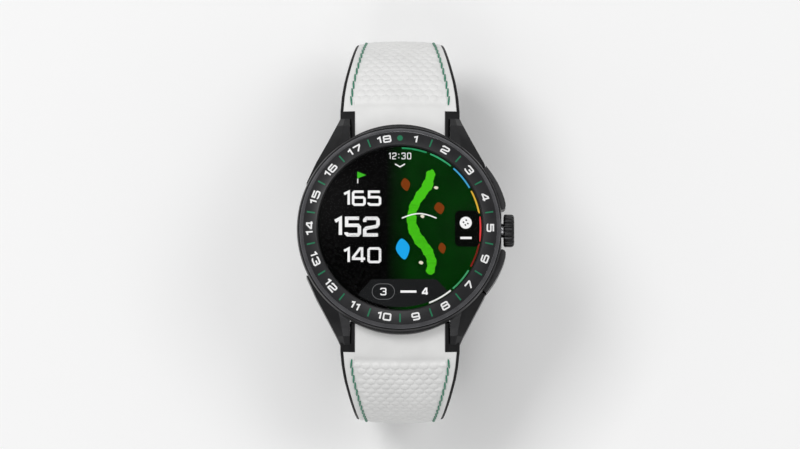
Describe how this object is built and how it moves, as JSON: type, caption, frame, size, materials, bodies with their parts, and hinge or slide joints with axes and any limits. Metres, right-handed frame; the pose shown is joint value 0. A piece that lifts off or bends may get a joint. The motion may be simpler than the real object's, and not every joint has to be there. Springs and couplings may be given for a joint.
{
  "type": "golf gps watch",
  "caption": "Round black golf GPS watch with a numbered bezel, colour map display, crown and pushers, on a white leather and black rubber strap with a folding clasp.",
  "frame": {"origin": "on the dial axis, in the plane of the clasp cover's flat outer face, which the watch stands on", "axes": "+Z out of the dial, +Y toward twelve o'clock along the strap, +X toward the crown"},
  "size_m": [0.0476, 0.0846, 0.0615],
  "materials": {
    "case_dark": "satin black coating on titanium",
    "bezel_ceramic": "polished black ceramic",
    "glass": "clear sapphire",
    "display": "lit display laminate",
    "rubber_black": "matte black strap rubber",
    "seal_black": "black seal rubber",
    "leather_white": "white dimpled leather",
    "steel": "brushed stainless steel",
    "clasp_dark": "satin black coated steel",
    "plastic_black": "black moulded plastic",
    "window_black": "smoked sensor window",
    "board_green": "solder mask",
    "battery_wrap": "grey battery wrap",
    "gold_contact": "gold plated"
  },
  "bodies": {
    "case": {"middle_case": "case_dark", "bezel_ring": "bezel_ceramic", "crystal": "glass", "crystal_gasket": "seal_black", "case_back": "case_dark", "case_back_gasket": "seal_black", "case_back_screws": "steel", "sensor_window": "window_black", "charging_contacts": "gold_contact", "display_panel": "display", "display_bracket": "plastic_black", "gps_antenna": "gold_contact", "main_board": "board_green", "processor_shield": "steel", "board_chips": "plastic_black", "battery": "battery_wrap", "vibration_motor": "steel", "speaker": "plastic_black", "sensor_board": "board_green", "sensor_lights": "window_black", "tact_switches": "steel", "crown_tube": "steel", "pusher_bushes": "steel", "strap_12_rubber": "rubber_black", "strap_12_leather": "leather_white", "strap_6_root_rubber": "rubber_black", "strap_6_root_leather": "leather_white", "spring_bar_12": "steel", "spring_bar_6": "steel"},
    "crown_cup": {"crown_press_cup": "plastic_black"},
    "crown": {"crown_knob": "case_dark", "crown_stem": "steel"},
    "upper_pusher": {"upper_pusher_cap": "case_dark", "upper_pusher_clip": "steel"},
    "lower_pusher": {"lower_pusher_cap": "case_dark", "lower_pusher_clip": "steel"},
    "lever_12": {"release_lever_12": "steel"},
    "lever_6": {"release_lever_6": "steel"},
    "strap_12_tail": {"strap_12_tail_rubber": "rubber_black", "strap_12_tail_leather": "leather_white", "clasp_bar_12": "steel"},
    "strap_6": {"strap_6_rubber": "rubber_black", "strap_6_leather": "leather_white"},
    "cover": {"clasp_cover": "clasp_dark", "clasp_outer_pin": "steel", "clasp_bar_6": "steel"},
    "middle_blade": {"clasp_middle_blade": "steel", "clasp_inner_pin": "steel"},
    "inner_blade": {"clasp_inner_blade": "steel"},
    "button_right": {"clasp_button_right": "clasp_dark"},
    "button_left": {"clasp_button_left": "clasp_dark"}
  },
  "joints": [
    {"name": "crown_press", "type": "slide", "parent": "case", "child": "crown_cup", "axis": [-1, 0, 0], "range_m": [0, 0.00035], "stiffness_N_per_m": 1500, "springref_m": -0.0005},
    {"name": "crown_turn", "type": "hinge", "parent": "crown_cup", "child": "crown", "pos_m": [0.024, 0, 0.0544], "axis": [1, 0, 0], "continuous": true},
    {"name": "upper_pusher_press", "type": "slide", "parent": "case", "child": "upper_pusher", "axis": [-0.9063, -0.4226, 0], "range_m": [0, 0.0006], "stiffness_N_per_m": 1200, "springref_m": -0.0005},
    {"name": "lower_pusher_press", "type": "slide", "parent": "case", "child": "lower_pusher", "axis": [-0.9063, 0.4226, 0], "range_m": [0, 0.0006], "stiffness_N_per_m": 1200, "springref_m": -0.0005},
    {"name": "release_12", "type": "slide", "parent": "case", "child": "lever_12", "axis": [-1, 0, 0], "range_m": [0, 0.0012], "stiffness_N_per_m": 400, "springref_m": -0.0008},
    {"name": "release_6", "type": "slide", "parent": "case", "child": "lever_6", "axis": [-1, 0, 0], "range_m": [0, 0.0012], "stiffness_N_per_m": 400, "springref_m": -0.0008},
    {"name": "strap_12_flex", "type": "hinge", "parent": "case", "child": "strap_12_tail", "pos_m": [0, 0.02841, 0.00612], "axis": [1, 0, 0], "range_deg": [-53.51, 0.2]},
    {"name": "strap_6_flex", "type": "hinge", "parent": "case", "child": "strap_6", "pos_m": [0, -0.03314, 0.04656], "axis": [1, 0, 0], "range_deg": [-4.93, 0.2]},
    {"name": "cover_swing", "type": "hinge", "parent": "strap_6", "child": "cover", "pos_m": [0, -0.0165, 0.003], "axis": [1, 0, 0], "range_deg": [-0.2, 16.1]},
    {"name": "clasp_fold", "type": "hinge", "parent": "cover", "child": "middle_blade", "pos_m": [0, 0.0152, 0.0019], "axis": [-1, 0, 0], "range_deg": [0, 60]},
    {"name": "inner_fold", "type": "hinge", "parent": "middle_blade", "child": "inner_blade", "pos_m": [0, -0.0095, 0.0029], "axis": [1, 0, 0], "range_deg": [-0.2, 18.2]},
    {"name": "button_right_press", "type": "slide", "parent": "cover", "child": "button_right", "axis": [-1, 0, 0], "range_m": [0, 0.0008], "stiffness_N_per_m": 800, "springref_m": -0.0005},
    {"name": "button_left_press", "type": "slide", "parent": "cover", "child": "button_left", "axis": [1, 0, 0], "range_m": [0, 0.0008], "stiffness_N_per_m": 800, "springref_m": -0.0005}
  ],
  "couplings": [
    {"joint": "strap_12_flex", "follows": "clasp_fold", "ratio": -0.8885},
    {"joint": "strap_6_flex", "follows": "clasp_fold", "ratio": -0.0788},
    {"joint": "cover_swing", "follows": "clasp_fold", "ratio": 0.265},
    {"joint": "inner_fold", "follows": "clasp_fold", "ratio": 0.3}
  ]
}
